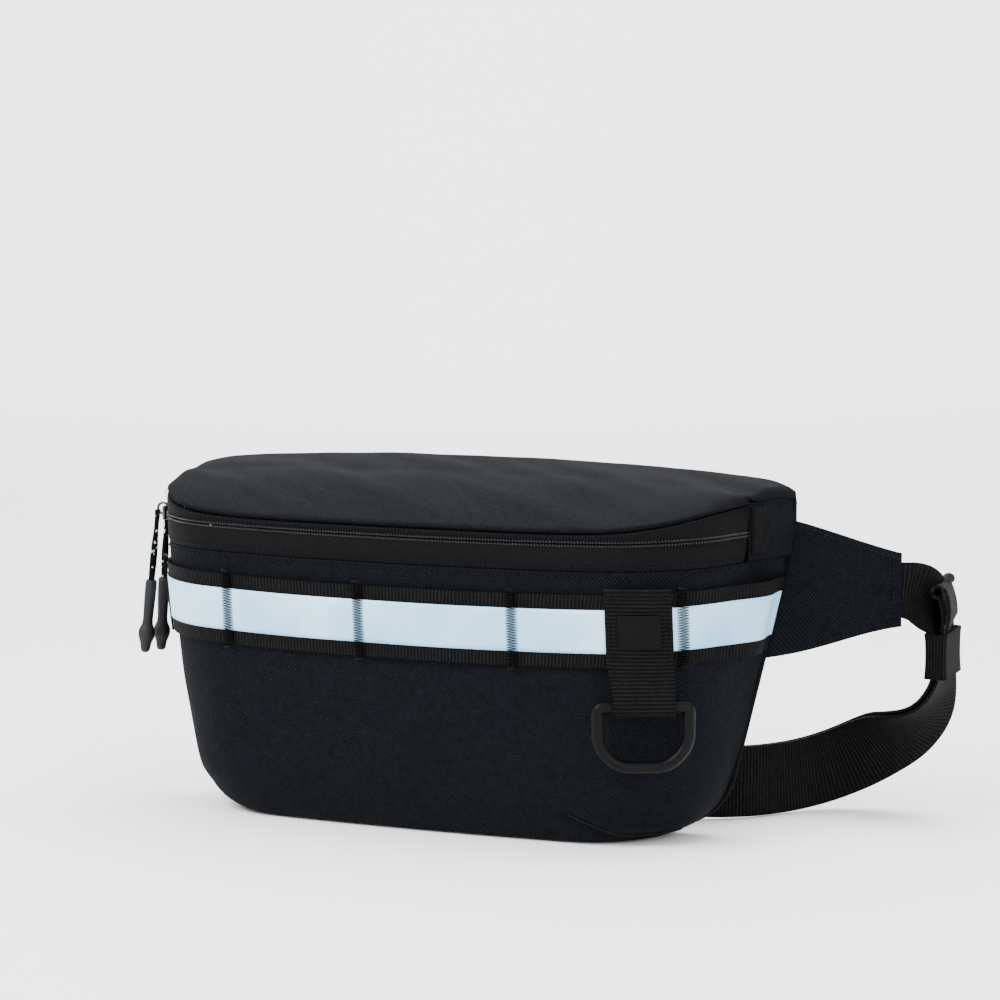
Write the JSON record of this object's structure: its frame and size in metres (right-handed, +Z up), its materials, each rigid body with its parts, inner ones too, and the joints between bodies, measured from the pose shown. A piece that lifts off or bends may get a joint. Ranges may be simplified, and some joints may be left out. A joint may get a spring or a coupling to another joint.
{
  "type": "waist pack",
  "caption": "Zipped waist pack with a reflective webbing band, D-ring tab, cord pulls, padded wings and a buckled webbing belt.",
  "frame": {"origin": "centre of the flat base, on the surface that the pack stands on", "axes": "+X to the right of the pack seen from the front, -Y out of the front, +Y towards the wearer, +Z up"},
  "size_m": [0.4414, 0.2071, 0.192],
  "materials": {
    "shell_fabric": "near-black blue oxford weave",
    "lining_fabric": "plain dark grey lining",
    "foam": "closed foam",
    "webbing": "black ribbed webbing",
    "reflective": "pale reflective tape",
    "elastic": "black fine-ribbed elastic",
    "cord": "black braid with pale flecks",
    "zip_coil": "black coil",
    "slider": "black lacquered die-casting",
    "pull_tip": "matt moulded tip",
    "ring": "matt black moulding",
    "buckle": "satin black moulding"
  },
  "bodies": {
    "pouch": {"front_wall": "shell_fabric", "base_panel": "shell_fabric", "right_gusset": "shell_fabric", "left_gusset": "shell_fabric", "back_panel": "shell_fabric", "back_foam": "foam", "back_lining": "lining_fabric", "lining": "lining_fabric", "top_rear_panel": "shell_fabric", "lower_zip_tape": "webbing", "lower_zip_coil": "zip_coil", "right_zip_end": "webbing", "left_zip_end": "webbing", "webbing_band": "webbing", "reflective_tape": "reflective", "ring_tab": "webbing", "label_patch": "webbing", "right_wing": "shell_fabric", "left_wing": "shell_fabric", "belt_strap": "webbing", "belt_tail": "webbing", "short_strap": "webbing", "buckle_socket": "buckle"},
    "lid": {"top_panel": "shell_fabric", "upper_zip_tape": "webbing", "upper_zip_coil": "zip_coil"},
    "ring": {"d_ring": "ring"},
    "front_slider": {"front_slider": "slider"},
    "front_pull": {"front_pull_cord": "cord", "front_pull_tip": "pull_tip"},
    "rear_slider": {"rear_slider": "slider"},
    "rear_pull": {"rear_pull_cord": "cord", "rear_pull_tip": "pull_tip"},
    "keeper": {"elastic_keeper": "elastic"},
    "plug": {"buckle_plug": "buckle", "belt_loop": "webbing"},
    "upper_prong": {"upper_prong": "buckle"},
    "lower_prong": {"lower_prong": "buckle"}
  },
  "joints": [
    {"name": "lid_hinge", "type": "hinge", "parent": "pouch", "child": "lid", "pos_m": [0, 0.014, 0.1857], "axis": [-1, 0, 0], "range_deg": [0, 100]},
    {"name": "ring_swing", "type": "hinge", "parent": "pouch", "child": "ring", "pos_m": [0.13626, -0.04441, 0.076], "axis": [-0.8556, -0.5176, 0], "range_deg": [0, 140]},
    {"name": "front_slider_travel", "type": "hinge", "parent": "pouch", "child": "front_slider", "pos_m": [-0.10961, 0.00442, 0.1606], "axis": [0, 0, 1], "range_deg": [0, 66]},
    {"name": "front_pull_swing", "type": "hinge", "parent": "front_slider", "child": "front_pull", "pos_m": [-0.17449, -0.00767, 0.1606], "axis": [-0.1924, 0.9813, 0], "range_deg": [0, 100]},
    {"name": "rear_slider_travel", "type": "slide", "parent": "pouch", "child": "rear_slider", "axis": [0.1924, -0.9813, 0], "range_m": [0, 0.0034]},
    {"name": "rear_pull_swing", "type": "hinge", "parent": "rear_slider", "child": "rear_pull", "pos_m": [-0.17718, 0.00607, 0.1606], "axis": [-0.1924, 0.9813, 0], "range_deg": [0, 100]},
    {"name": "keeper_slide", "type": "slide", "parent": "pouch", "child": "keeper", "axis": [0, 0, 1], "range_m": [-0.004, 0]},
    {"name": "buckle_release", "type": "slide", "parent": "pouch", "child": "plug", "axis": [1, 0, 0], "range_m": [0, 0.028]},
    {"name": "upper_prong_press", "type": "hinge", "parent": "plug", "child": "upper_prong", "pos_m": [0.0036, 0.0562, 0.0385], "axis": [0, -1, 0], "range_deg": [0, 9], "stiffness_Nm_per_rad": 0.4},
    {"name": "lower_prong_press", "type": "hinge", "parent": "plug", "child": "lower_prong", "pos_m": [0.0036, 0.0562, 0.0105], "axis": [0, 1, 0], "range_deg": [0, 9], "stiffness_Nm_per_rad": 0.4}
  ]
}
